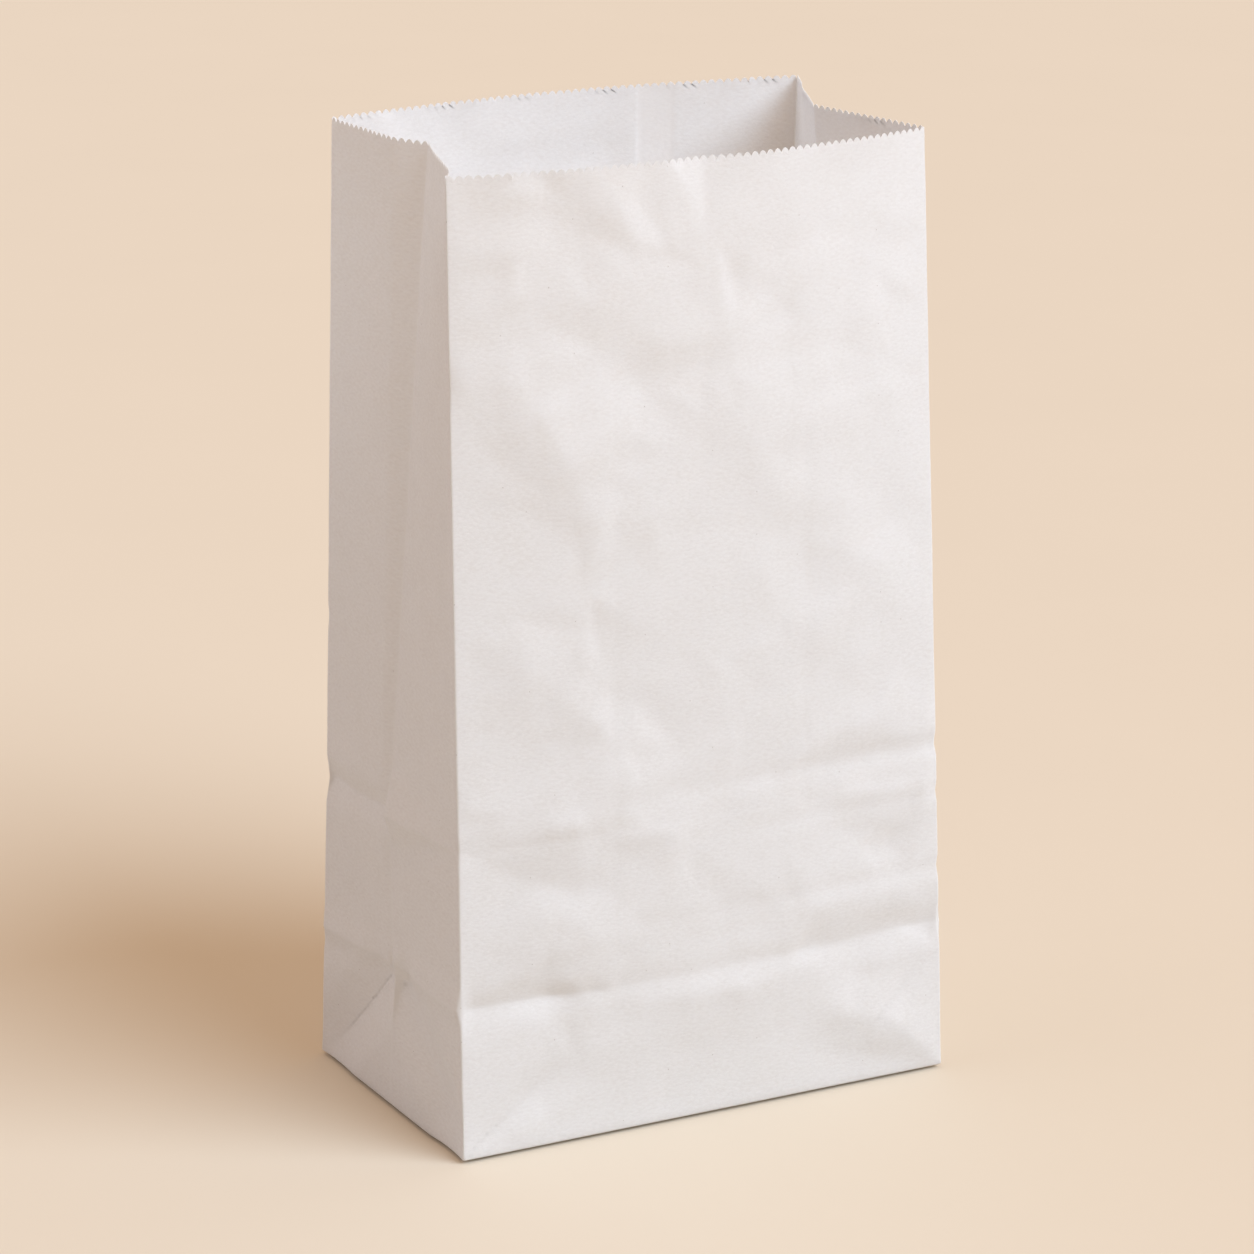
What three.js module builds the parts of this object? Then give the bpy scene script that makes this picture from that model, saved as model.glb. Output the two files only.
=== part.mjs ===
// A plain white paper bag: block bottom, side gussets, pinked mouth, open and empty, standing on its base.
//
// Millimetres, +Z up. +X runs to the right along the front panel, and the front panel faces -Y.
// The origin lies on the ground, on the outer base flap, midway between the four walls.
//
// The bag is one sheet folded into a tube, so it is one closed solid: an outer skin, an inner skin a
// wall thickness inside it, the pinked rim that joins them at the mouth, and the folded base.

import * as THREE from 'three';

// ---- driving dimensions ----

const PANEL_WIDTH = 152.4;        // front and back panel, 6 in
const BASE_DEPTH = 92.1;          // base, and each gusset opened flat, 3 5/8 in
const TUBE_HEIGHT = 281;          // paper from the ground to the mouth, 11 1/16 in
const WALL = 0.6;                 // stands in for paper 0.1 mm thick
const TOOTH_PITCH = 2.54;         // the mouth is cut with ten teeth to the inch
const TOOTH_HEIGHT = 1.2;
const FLAP_STEP = 0.25;           // one layer of the folded base
const FLOOR_TOP = 1.1;            // inside face of the base

// The base was folded flat against the panel for storage. It leaves a fold line half a base depth up
// all round, and a fainter one where its far edge lay, a whole base depth up.
const LOWER_FOLD = BASE_DEPTH / 2;
const UPPER_FOLD = BASE_DEPTH;
const FOLD_DEPTH = 0.7;           // how far a fold line is pressed in
const FOLD_REACH = 14;            // how far above and below a fold line the paper bends
const SLIPPED_FOLD = 5;           // both lines lie lower at the back left corner

const PANEL_BOW = 9;              // the front and back panels bulge at the mouth
const LEFT_GUSSET_DRAW = 12.5;    // how far the gusset creases are drawn in at the mouth
const RIGHT_GUSSET_DRAW = 15;
const GUSSET_CURL = 2;            // the left gusset curls in behind the front corner
const CURL_START = 120;           // the curl fades out down to this height

// How far each corner has wandered from the true box, as [right, back], on the ground, at the upper
// fold line and at the mouth, and how far the opened mouth has dropped there.
const CORNERS = {
  frontLeft: { side: [-1, -1], ground: [1, 2], fold: [0.5, 1.5], mouth: [-2.5, -2], drop: 1.5 },
  frontRight: { side: [1, -1], ground: [3, -1.5], fold: [-0.5, -0.5], mouth: [-5.5, 5.5], drop: 2 },
  backRight: { side: [1, 1], ground: [-2, 0], fold: [-0.5, 0], mouth: [3.5, -1], drop: 1 },
  backLeft: { side: [-1, 1], ground: [-2, 1], fold: [1, -0.5], mouth: [5, -5], drop: 0.5 },
};

// Handling left these dents in the front panel: where each lies, as a share of the panel's width and
// a height, how far it reaches across and up, and how deep it is. A negative depth is a bump.
const DENTS = [
  { across: 0.12, height: 88, reachAcross: 26, reachUp: 14, depth: 1.1 },
  { across: 0.29, height: 165, reachAcross: 17, reachUp: 26, depth: 1.2 },
  { across: 0.27, height: 197, reachAcross: 14, reachUp: 18, depth: -0.7 },
  { across: 0.55, height: 257, reachAcross: 15, reachUp: 30, depth: 0.9 },
  { across: 0.82, height: 62, reachAcross: 20, reachUp: 22, depth: -0.7 },
  { across: 0.9, height: 22, reachAcross: 20, reachUp: 20, depth: 0.9 },
];

// ---- how finely the sheet is divided ----

const TEETH_PER_COLUMN = 3;
const PANEL_COLUMNS = Math.round(PANEL_WIDTH / TOOTH_PITCH / TEETH_PER_COLUMN);
const GUSSET_COLUMNS = Math.round(BASE_DEPTH / 2 / TOOTH_PITCH / TEETH_PER_COLUMN);
const ROWS_TO_LOWER_FOLD = GUSSET_COLUMNS;       // so that the base diagonals run through grid points
const ROWS_TO_UPPER_FOLD = 6;
const ROWS_TO_MOUTH = 12;

// ---- the tube ----

const lerp = (a, b, t) => a + (b - a) * t;
const share = (value, low, high) => Math.min(1, Math.max(0, (value - low) / (high - low)));

// A corner's place at a height: straight from the ground to the upper fold, and on to the mouth.
function cornerAt(corner, z) {
  const low = share(z, 0, UPPER_FOLD);
  const high = share(z, UPPER_FOLD, TUBE_HEIGHT);
  const half = [PANEL_WIDTH / 2, BASE_DEPTH / 2];
  const [x, y] = [0, 1].map((axis) => corner.side[axis] * half[axis]
    + lerp(lerp(corner.ground[axis], corner.fold[axis], low), corner.mouth[axis], high));
  return new THREE.Vector2(x, y);
}

// A gusset's centre crease: midway between its corners up to the upper fold, then drawn in.
function creaseAt(front, back, draw, z) {
  const centre = cornerAt(front, z).add(cornerAt(back, z)).multiplyScalar(0.5);
  centre.x -= front.side[0] * draw * share(z, UPPER_FOLD, TUBE_HEIGHT);
  return centre;
}

const { frontLeft, frontRight, backRight, backLeft } = CORNERS;
const rightCrease = (z) => creaseAt(frontRight, backRight, RIGHT_GUSSET_DRAW, z);
const leftCrease = (z) => creaseAt(frontLeft, backLeft, LEFT_GUSSET_DRAW, z);
const atCorner = (corner) => (z) => cornerAt(corner, z);
const creaseDrop = (front, back) => (front.drop + back.drop) / 2;

// The six flat faces of the tube, in order round it, seen from above against the clock. Each has its
// two edges, how far the mouth drops there, how far the fold lines slip there, and its columns.
const FACES = [
  { kind: 'front', from: atCorner(frontLeft), to: atCorner(frontRight),
    drop: [frontLeft.drop, frontRight.drop], slip: [0, 0], columns: PANEL_COLUMNS },
  { kind: 'gusset', from: atCorner(frontRight), to: rightCrease,
    drop: [frontRight.drop, creaseDrop(frontRight, backRight)], slip: [0, 0], columns: GUSSET_COLUMNS },
  { kind: 'gusset', from: rightCrease, to: atCorner(backRight),
    drop: [creaseDrop(frontRight, backRight), backRight.drop], slip: [0, 0], columns: GUSSET_COLUMNS },
  { kind: 'back', from: atCorner(backRight), to: atCorner(backLeft),
    drop: [backRight.drop, backLeft.drop], slip: [0, SLIPPED_FOLD], columns: PANEL_COLUMNS },
  { kind: 'gusset', from: atCorner(backLeft), to: leftCrease,
    drop: [backLeft.drop, creaseDrop(frontLeft, backLeft)], slip: [SLIPPED_FOLD, SLIPPED_FOLD / 3],
    columns: GUSSET_COLUMNS },
  { kind: 'curled gusset', from: leftCrease, to: atCorner(frontLeft),
    drop: [creaseDrop(frontLeft, backLeft), frontLeft.drop], slip: [SLIPPED_FOLD / 3, 0],
    columns: GUSSET_COLUMNS },
];
const COLUMNS = FACES.reduce((sum, face) => sum + face.columns, 0);

// A fold line is a shallow vee, pressed in along the line and gone a short way above and below it.
function foldRelief(z, line) {
  return -FOLD_DEPTH * Math.max(0, 1 - Math.abs(z - line) / FOLD_REACH);
}

// A dent is a shallow four-sided pyramid, as creased paper makes.
function dentRelief(t, z) {
  let relief = 0;
  for (const dent of DENTS) {
    const across = Math.abs(t - dent.across) * PANEL_WIDTH / dent.reachAcross;
    const up = Math.abs(z - dent.height) / dent.reachUp;
    relief -= dent.depth * Math.max(0, 1 - across - up);
  }
  return relief;
}

// How far a face stands out of the plane between its two edges.
function reliefAt(face, t, z) {
  const arch = 1 - (2 * t - 1) ** 2;
  const towardsMouth = z / TUBE_HEIGHT;
  let relief = (foldRelief(z, LOWER_FOLD) + foldRelief(z, UPPER_FOLD)) * Math.min(1, 6 * arch);
  if (face.kind === 'front' || face.kind === 'back') relief += PANEL_BOW * arch * towardsMouth;
  if (face.kind === 'front') relief += dentRelief(t, z) * Math.min(1, 6 * arch);
  if (face.kind === 'curled gusset') {
    relief -= GUSSET_CURL * Math.sin(Math.PI * t ** 3) * share(z, CURL_START, TUBE_HEIGHT);
  }
  return relief;
}

// A point of the outer skin: t runs from 0 to 1 across a face, and z is measured along the paper.
function skinPoint(face, t, z) {
  const from = face.from(z);
  const to = face.to(z);
  const outward = new THREE.Vector2(to.y - from.y, from.x - to.x).normalize();
  const place = from.lerp(to, t).addScaledVector(outward, reliefAt(face, t, z));
  const nearFolds = share(z, 0, LOWER_FOLD) * (1 - share(z, UPPER_FOLD, TUBE_HEIGHT));
  const height = z - lerp(face.slip[0], face.slip[1], t) * nearFolds
    - lerp(face.drop[0], face.drop[1], t) * share(z, UPPER_FOLD, TUBE_HEIGHT);
  return new THREE.Vector3(place.x, place.y, height);
}

// The face and the place on it of a distance round the tube, counted in columns.
function faceAt(column) {
  let left = ((column % COLUMNS) + COLUMNS) % COLUMNS;
  for (const face of FACES) {
    if (left < face.columns) return [face, left / face.columns];
    left -= face.columns;
  }
  return [FACES[0], 0];
}

function outerPoint(column, z) {
  return skinPoint(...faceAt(column), z);
}

// The direction and length of the step from the outer skin to the inner one. At a fold the step is
// the mitre of its two faces, so that the wall keeps its thickness round the corner.
function wallStep(column, z) {
  const reach = 1 / TEETH_PER_COLUMN;
  const here = outerPoint(column, z);
  const up = outerPoint(column, z + 1).sub(outerPoint(column, z - 1));
  const before = here.clone().sub(outerPoint(column - reach, z)).cross(up).normalize();
  const after = outerPoint(column + reach, z).sub(here).cross(up).normalize();
  const mitre = -WALL / (1 + before.dot(after));
  return before.add(after).multiplyScalar(mitre);
}

function innerPoint(column, z) {
  return outerPoint(column, z).add(wallStep(column, z));
}

// ---- the mesh ----

const points = [];
const triangles = [];

function addPoint(point) {
  points.push(point);
  return points.length - 1;
}

// A fan of triangles over a polygon, turned over for a surface that faces the other way.
function addPolygon(corners, flipped = false) {
  for (let k = 1; k + 1 < corners.length; k += 1) {
    const triangle = [corners[0], corners[k], corners[k + 1]];
    if (new Set(triangle).size === 3) triangles.push(flipped ? triangle.reverse() : triangle);
  }
}

function rowHeights() {
  const heights = [];
  const bands = [
    [0, LOWER_FOLD, ROWS_TO_LOWER_FOLD],
    [LOWER_FOLD, UPPER_FOLD, ROWS_TO_UPPER_FOLD],
    [UPPER_FOLD, TUBE_HEIGHT - TOOTH_HEIGHT, ROWS_TO_MOUTH],
  ];
  for (const [low, high, rows] of bands) {
    for (let row = 0; row < rows; row += 1) heights.push(lerp(low, high, row / rows));
  }
  return heights;
}

// One skin of the tube from its lowest row up to the teeth. It returns the lowest row and, for the
// rim, the valleys and the tips of the teeth.
function addSkin(pointAt, flipped) {
  const heights = rowHeights();
  const rows = heights.map((z) => Array.from({ length: COLUMNS }, (_, column) => addPoint(pointAt(column, z))));
  for (let row = 0; row + 1 < rows.length; row += 1) {
    for (let column = 0; column < COLUMNS; column += 1) {
      const next = (column + 1) % COLUMNS;
      const [a, b, c, d] = [rows[row][column], rows[row][next], rows[row + 1][next], rows[row + 1][column]];
      addPolygon(risesWith(column, row) ? [a, b, c, d] : [b, c, d, a], flipped);
    }
  }
  const teeth = COLUMNS * TEETH_PER_COLUMN;
  const valleyHeight = TUBE_HEIGHT - TOOTH_HEIGHT;
  const valleys = [];
  const tips = [];
  for (let tooth = 0; tooth < teeth; tooth += 1) {
    valleys.push(addPoint(pointAt(tooth / TEETH_PER_COLUMN, valleyHeight)));
    tips.push(addPoint(pointAt((tooth + 0.5) / TEETH_PER_COLUMN, TUBE_HEIGHT)));
  }
  const last = rows[rows.length - 1];
  for (let column = 0; column < COLUMNS; column += 1) {
    const valley = Array.from({ length: TEETH_PER_COLUMN + 1 },
      (_, k) => valleys[(column * TEETH_PER_COLUMN + k) % teeth]);
    const next = last[(column + 1) % COLUMNS];
    addPolygon([last[column], next, valley[2], valley[1], valley[0]], flipped);
    addPolygon([next, valley[3], valley[2]], flipped);
  }
  for (let tooth = 0; tooth < teeth; tooth += 1) {
    addPolygon([valleys[tooth], valleys[(tooth + 1) % teeth], tips[tooth]], flipped);
  }
  return { base: rows[0], valleys, tips };
}

// Whether a quad's diagonal rises to the right. Below the lower fold it follows the folds that run
// from the base corners to the middle of each gusset.
function risesWith(column, row) {
  const [face, t] = faceAt(column);
  if (face.kind === 'front' || face.kind === 'back') return (column + row) % 2 === 0;
  const fromCorner = FACES.indexOf(face) % 3 === 1;
  return row < ROWS_TO_LOWER_FOLD ? fromCorner : t < 0.5;
}

function addRim(outer, inner) {
  const teeth = outer.tips.length;
  for (let tooth = 0; tooth < teeth; tooth += 1) {
    const next = (tooth + 1) % teeth;
    addPolygon([outer.valleys[tooth], outer.tips[tooth], inner.tips[tooth], inner.valleys[tooth]]);
    addPolygon([outer.tips[tooth], outer.valleys[next], inner.valleys[next], inner.tips[tooth]]);
  }
}

// ---- the base ----
// The base is closed like the end of a parcel. The side triangles are folded in first, the back flap
// over them, and the front flap over both, past the middle by one grid step.

const BASE_COLUMNS = PANEL_COLUMNS;
const BASE_ROWS = 2 * GUSSET_COLUMNS;
const FRONT_FLAP_ROWS = GUSSET_COLUMNS + 1;

// The layer that shows underneath, for a place counted in grid steps from the front left corner.
function layerAt(column, row) {
  const fromSide = Math.min(column, BASE_COLUMNS - column);
  if (row < FRONT_FLAP_ROWS && row < fromSide) return 'front flap';
  if (BASE_ROWS - row < fromSide || row > GUSSET_COLUMNS) {
    if (BASE_ROWS - row < fromSide) return 'back flap';
  }
  return 'side triangle';
}

// How high a layer lies above the ground at a grid point. Every layer reaches the ground at its own
// wall, so that the bag stands on the whole edge of its base.
function layerHeight(layer, column, row) {
  const fromSide = Math.min(column, BASE_COLUMNS - column);
  if (layer === 'back flap') return row === BASE_ROWS ? 0 : FLAP_STEP;
  if (layer === 'side triangle') return fromSide === 0 ? 0 : 2 * FLAP_STEP;
  return 0;
}

// Where a base grid point lies: evenly between the four corners, as the walls are on the ground.
function basePlace(column, row) {
  const front = cornerAt(frontLeft, 0).lerp(cornerAt(frontRight, 0), column / BASE_COLUMNS);
  const back = cornerAt(backLeft, 0).lerp(cornerAt(backRight, 0), column / BASE_COLUMNS);
  return front.lerp(back, row / BASE_ROWS);
}

// The place of a base edge point in the lowest row of the tube, or undefined inside the base.
function tubeColumn(column, row) {
  if (row === 0) return column;
  if (column === BASE_COLUMNS) return BASE_COLUMNS + row;
  if (row === BASE_ROWS) return 2 * BASE_COLUMNS + BASE_ROWS - column;
  if (column === 0) return COLUMNS - row;
  return undefined;
}

function addUnderside(edge) {
  const made = new Map();
  const levels = new Map();
  const pointOf = (column, row, layer) => {
    const onEdge = tubeColumn(column, row);
    if (onEdge !== undefined) return edge[onEdge % COLUMNS];
    const height = layerHeight(layer, column, row);
    const key = `${column} ${row} ${height}`;
    if (!made.has(key)) {
      const place = basePlace(column, row);
      made.set(key, addPoint(new THREE.Vector3(place.x, place.y, height)));
      const there = levels.get(`${column} ${row}`) ?? [];
      levels.set(`${column} ${row}`, [...there, height].sort((a, b) => a - b));
    }
    return made.get(key);
  };

  // Each quad is split along the diagonal that the flaps' slanted edges follow.
  const halves = [];
  for (let column = 0; column < BASE_COLUMNS; column += 1) {
    for (let row = 0; row < BASE_ROWS; row += 1) {
      const rising = (column < BASE_COLUMNS / 2) === (row < BASE_ROWS / 2 || column === row);
      const [a, b] = [[column, row], [column + 1, row]];
      const [c, d] = [[column + 1, row + 1], [column, row + 1]];
      for (const corners of rising ? [[a, b, c], [a, c, d]] : [[a, b, d], [b, c, d]]) {
        const middle = [0, 1].map((axis) => corners.reduce((sum, corner) => sum + corner[axis], 0) / 3);
        halves.push({ corners, layer: layerAt(...middle) });
      }
    }
  }
  for (const { corners, layer } of halves) {
    addPolygon(corners.map(([column, row]) => pointOf(column, row, layer)), true);
  }

  // Where two layers meet, the edge of the upper one closes the step between them.
  const owners = new Map();
  for (const { corners, layer } of halves) {
    corners.forEach((corner, k) => owners.set(`${corner} > ${corners[(k + 1) % 3]}`, layer));
  }
  const levelsAt = ([column, row], low, high) => {
    const onEdge = tubeColumn(column, row);
    if (onEdge !== undefined) return [edge[onEdge % COLUMNS]];
    return levels.get(`${column} ${row}`)
      .filter((height) => height >= low && height <= high)
      .map((height) => made.get(`${column} ${row} ${height}`));
  };
  for (const { corners, layer } of halves) {
    corners.forEach((from, k) => {
      const to = corners[(k + 1) % 3];
      const above = owners.get(`${to} > ${from}`);
      if (above === undefined || above === layer) return;
      const [low, high] = [from, to].map((corner) => [layer, above].map((name) => layerHeight(name, ...corner)));
      if (low[0] >= low[1] && high[0] >= high[1]) return;
      addStep(levelsAt(from, ...low), levelsAt(to, ...high));
    });
  }
}

// The upright face between two ends, each a list of points from the lowest to the highest.
function addStep(from, to) {
  for (let k = 0; k + 1 < to.length; k += 1) addPolygon([from[0], to[k], to[k + 1]]);
  for (let k = 0; k + 1 < from.length; k += 1) addPolygon([from[k], to[to.length - 1], from[k + 1]]);
}

// The inside face of the base, flat from wall to wall.
function addFloor(edge) {
  const outline = edge.map((index) => new THREE.Vector2(points[index].x, points[index].y));
  for (const [a, b, c] of THREE.ShapeUtils.triangulateShape(outline, [])) {
    addPolygon([edge[a], edge[b], edge[c]]);
  }
}

// ---- the bag ----

function makeBag() {
  const outer = addSkin(outerPoint, false);
  const inner = addSkin((column, z) => {
    const point = innerPoint(column, Math.max(z, FLOOR_TOP));
    if (z < FLOOR_TOP) point.z = FLOOR_TOP;
    return point;
  }, true);
  addRim(outer, inner);
  addUnderside(outer.base);
  addFloor(inner.base);

  const geometry = new THREE.BufferGeometry();
  geometry.setAttribute('position', new THREE.Float32BufferAttribute(points.flatMap((p) => p.toArray()), 3));
  geometry.setIndex(triangles.flat());
  geometry.computeVertexNormals();
  const paper = new THREE.MeshStandardMaterial({ color: 0xece8e4, roughness: 0.86, metalness: 0 });
  const bag = new THREE.Mesh(geometry, paper);
  bag.name = 'paper_bag';
  return bag;
}

const group = new THREE.Group();
group.name = 'paper_bag_open';
group.add(makeBag());

export default group;
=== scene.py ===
# %% [markdown]
# # A white paper bag, open and empty
#
# The object is a grocery bag of thin white paper: one sheet folded into a tube with a gusset in each
# side, a block bottom folded like the end of a parcel, and a mouth cut with a zig-zag knife. It stands
# open on its base. Its looks are all in small things: crisp storage folds, soft creases from handling,
# a bulging mouth, teeth, and a matt surface with fibres in it. This file builds those around the plain
# solid of the frame, in the frame's own place and size.

# %% The frame's parts, and millimetres
import math

import bpy
import numpy as np
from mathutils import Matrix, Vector
from mathutils.geometry import delaunay_2d_cdt


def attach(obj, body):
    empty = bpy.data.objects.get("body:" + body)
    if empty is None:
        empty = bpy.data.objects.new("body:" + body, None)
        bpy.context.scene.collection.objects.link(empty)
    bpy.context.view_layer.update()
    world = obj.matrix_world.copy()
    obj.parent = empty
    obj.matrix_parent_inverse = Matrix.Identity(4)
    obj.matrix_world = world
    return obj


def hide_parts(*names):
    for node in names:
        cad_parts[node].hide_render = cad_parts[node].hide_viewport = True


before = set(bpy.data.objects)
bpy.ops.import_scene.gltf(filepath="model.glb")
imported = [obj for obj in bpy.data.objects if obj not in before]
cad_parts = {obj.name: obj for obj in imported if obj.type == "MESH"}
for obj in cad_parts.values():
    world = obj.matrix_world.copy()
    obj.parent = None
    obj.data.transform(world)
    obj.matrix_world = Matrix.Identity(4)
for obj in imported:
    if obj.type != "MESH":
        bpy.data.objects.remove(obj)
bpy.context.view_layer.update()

BODY = "root"
NODE = "paper_bag"
MM = 0.001


# %% [markdown]
# ## The sheet's sizes
#
# A bag of this kind is drawn up from three sizes: the width of its panels, the depth of its base and
# the length of its tube. Everything else follows. The gussets are as deep as the base, the first
# storage fold lies half a base depth up and the second one a whole base depth up, and the knife cuts
# ten teeth to the inch. They are written here in millimetres, as a paper maker would, and turned into
# metres once, when the mesh is made.

# %% Driving sizes, in millimetres
PANEL_WIDTH = 152.4
BASE_DEPTH = 92.1
TUBE_HEIGHT = 281.0
PAPER = 0.16
TEETH = 192                   # round the whole mouth, ten to the inch
TOOTH_HEIGHT = 1.2
LOWER_FOLD = BASE_DEPTH / 2
UPPER_FOLD = BASE_DEPTH
SLIPPED_FOLD = 5.0            # both storage folds lie lower at the back left corner
PANEL_BOW = 9.0               # how far the panels bulge at the mouth
LEFT_DRAW, RIGHT_DRAW = 12.5, 15.0   # how far the gusset creases are drawn in at the mouth
GUSSET_PRESS = 1.2            # how far the gussets are pressed in at the lower fold
HALF_GUSSET = BASE_DEPTH / 2
PERIMETER = 2 * (PANEL_WIDTH + BASE_DEPTH)
TOOTH_PITCH = PERIMETER / TEETH

# How far each corner has wandered, as [right, back], on the ground, at the upper fold and at the
# mouth, and how far the opened mouth has dropped there. A nick is where a storage fold crosses the
# corner: its height, its reach up and down, and its depth.
CORNERS = {
    "front left": dict(side=(-1, -1), ground=(1, 2), fold=(0.5, 1.5), mouth=(-2.5, -2), drop=1.5,
                       nicks=[(92.5, 5, 0.35), (45.5, 6, 0.4), (223, 7, 0.25)]),
    "front right": dict(side=(1, -1), ground=(3, -1.5), fold=(-0.5, -0.5), mouth=(-5.5, 5.5), drop=2,
                        nicks=[(101.3, 4, 0.45), (86.5, 3, 0.35), (63.5, 4, 0.4), (46.5, 7, 0.55)]),
    "back right": dict(side=(1, 1), ground=(-2, 0), fold=(-0.5, 0), mouth=(3.5, -1), drop=1,
                       nicks=[(46, 7, 0.5), (92, 8, 0.4), (171, 6, 0.3)]),
    "back left": dict(side=(-1, 1), ground=(-2, 1), fold=(1, -0.5), mouth=(5, -5), drop=0.5,
                      nicks=[(45, 7, 0.5), (92, 7, 0.4), (140, 5, 0.25)]),
}
print("round the mouth:", PERIMETER, "mm,", TEETH, "teeth,", round(TOOTH_PITCH, 3), "mm each")

# %% [markdown]
# ## The folded tube
#
# The tube has six flat faces: front, two halves of the right gusset, back, and two halves of the left
# one. A cloth simulation could open a folded sheet, but it would soften the sharp storage folds, and
# its result is hard to steer towards one particular bag. So each face is a ruled surface between its
# two folds, and each fold is a line that leans a little. Places on the sheet are given as girth, the
# distance round the tube from the front left fold, and climb, the distance up from the ground.

# %% Where the folds run
def share(value, start, end):
    """How far a value has come from start to end: 0 before the start, 1 beyond the end."""
    return np.clip((np.asarray(value, float) - start) / (end - start), 0, 1)


def near(distance, reach):
    """1 at no distance, falling evenly to 0 at the reach."""
    return np.clip(1 - np.abs(distance) / reach, 0, 1)


def corner_line(name, climb):
    """A corner fold's place, right and back, at each climb."""
    corner = CORNERS[name]
    lower, upper = share(climb, 0, UPPER_FOLD), share(climb, UPPER_FOLD, TUBE_HEIGHT)
    half = (PANEL_WIDTH / 2, BASE_DEPTH / 2)
    pressed = sum(depth * near(climb - at, reach) for at, reach, depth in corner["nicks"])
    return [corner["side"][k] * (half[k] - pressed)
            + (corner["ground"][k] * (1 - lower) + corner["fold"][k] * lower) * (1 - upper)
            + corner["mouth"][k] * upper for k in (0, 1)]


def gusset_line(front, back, draw, climb):
    """A gusset's centre crease, drawn in towards the mouth."""
    (xa, ya), (xb, yb) = corner_line(front, climb), corner_line(back, climb)
    pressed = GUSSET_PRESS * near(climb - LOWER_FOLD, LOWER_FOLD)
    inwards = -CORNERS[front]["side"][0] * (draw * share(climb, UPPER_FOLD, TUBE_HEIGHT) + pressed)
    return [(xa + xb) / 2 + inwards, (ya + yb) / 2]


def right_crease(climb):
    return gusset_line("front right", "back right", RIGHT_DRAW, climb)


def left_crease(climb):
    return gusset_line("front left", "back left", LEFT_DRAW, climb)


def corner_fold(name):
    return lambda climb: corner_line(name, climb)


# %% The six folds, and the six faces between them
def mouth_drop(*names):
    """How far the opened mouth has dropped at a corner, or between two of them."""
    return sum(CORNERS[name]["drop"] for name in names) / len(names)


# Each fold's line, the mouth's drop there, and how far down the storage folds slip there.
FOLDS = [
    (corner_fold("front left"), mouth_drop("front left"), 0),
    (corner_fold("front right"), mouth_drop("front right"), 0),
    (right_crease, mouth_drop("front right", "back right"), 0),
    (corner_fold("back right"), mouth_drop("back right"), 0),
    (corner_fold("back left"), mouth_drop("back left"), SLIPPED_FOLD),
    (left_crease, mouth_drop("front left", "back left"), SLIPPED_FOLD / 3),
]
KINDS = ["front", "right gusset, front half", "right gusset, back half",
         "back", "left gusset, back half", "left gusset, front half"]
FACES = []
girth = 0.0
for kind, start, end in zip(KINDS, FOLDS, FOLDS[1:] + FOLDS[:1]):
    width = HALF_GUSSET if "gusset" in kind else PANEL_WIDTH
    FACES.append(dict(kind=kind, side=kind.split()[0], width=width, girth=girth,
                      start=start[0], end=end[0], drop=(start[1], end[1]), slip=(start[2], end[2])))
    print(f"{kind}: from {girth:.1f} to {girth + width:.1f} mm round")
    girth += width


def starts_at_crease(face):
    """Whether the fold where a face starts is a gusset's centre crease."""
    return face["start"] in (right_crease, left_crease)


def is_on(face, girths):
    """Whether places round the tube lie on a face."""
    return (girths >= face["girth"]) & (girths < face["girth"] + face["width"])


def off_fold(face, girths):
    """The distance round the tube from the fold where a face starts, to either side."""
    return (girths - face["girth"] + PERIMETER / 2) % PERIMETER - PERIMETER / 2


def from_corner(face, across):
    """The distance from a gusset half's corner fold, whichever way round the half runs."""
    return face["width"] - across if starts_at_crease(face) else across


# %% [markdown]
# ## Creases
#
# Paper doesn't stretch, so it never dimples like rubber. It bends along straight lines, steeply on one
# side and gently on the other, and stays flat between them. Three helpers draw exactly that: a crease,
# which is a line with its own reach to each side; a facet star, which is a shallow pyramid over any
# outline; and a facet map, a whole face of flat triangles between scattered spots, for the weak
# crumple that all handled paper has. Noise alone would look like orange peel. All give how far the
# paper stands out of its face, in millimetres, and a negative height is pressed in.

# %% Helpers for creased paper
HAIR = 0.01                          # a hair's breadth, to take in what lies on a line
FACET_CELL = 0.7                     # how fine a facet map is
SPOT_STRAY = 0.42                    # how far a facet map's spots stray, in spacings


def crease(across, climb, start, end, height, left, right, ends=(0.3, 0.3), tip=False):
    """A straight crease. left and right are how far the paper bends on each side, seen along it, and
    ends are the shares of its length over which it fades. With a tip it starts from one point."""
    (x0, y0), (x1, y1) = start, end
    length = math.hypot(x1 - x0, y1 - y0)
    ux, uy = (x1 - x0) / length, (y1 - y0) / length
    along = (across - x0) * ux + (climb - y0) * uy
    aside = (climb - y0) * ux - (across - x0) * uy
    grown = np.clip(along / length, 0, 1) if tip else 1
    body = np.clip(grown - np.abs(aside) / np.where(aside > 0, left, right), 0, 1)
    fade_in = np.clip(along / (length * ends[0]), 0, 1) if ends[0] and not tip else along >= 0
    fade_out = np.clip((length - along) / (length * ends[1]), 0, 1) if ends[1] else along <= length
    return height * body * fade_in * fade_out


def facet_star(across, climb, apex, outline, height):
    """Flat facets that rise from an outline to one point."""
    relief = np.zeros_like(across)
    for (xa, ya), (xb, yb) in zip(outline, outline[1:] + outline[:1]):
        area = (xa - apex[0]) * (yb - apex[1]) - (xb - apex[0]) * (ya - apex[1])
        to_a = ((across - apex[0]) * (yb - apex[1]) - (xb - apex[0]) * (climb - apex[1])) / area
        to_b = ((xa - apex[0]) * (climb - apex[1]) - (across - apex[0]) * (ya - apex[1])) / area
        inside = (to_a >= 0) & (to_b >= 0) & (to_a + to_b < 1)
        relief = np.maximum(relief, np.where(inside, 1 - to_a - to_b, 0))
    return height * relief


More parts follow.
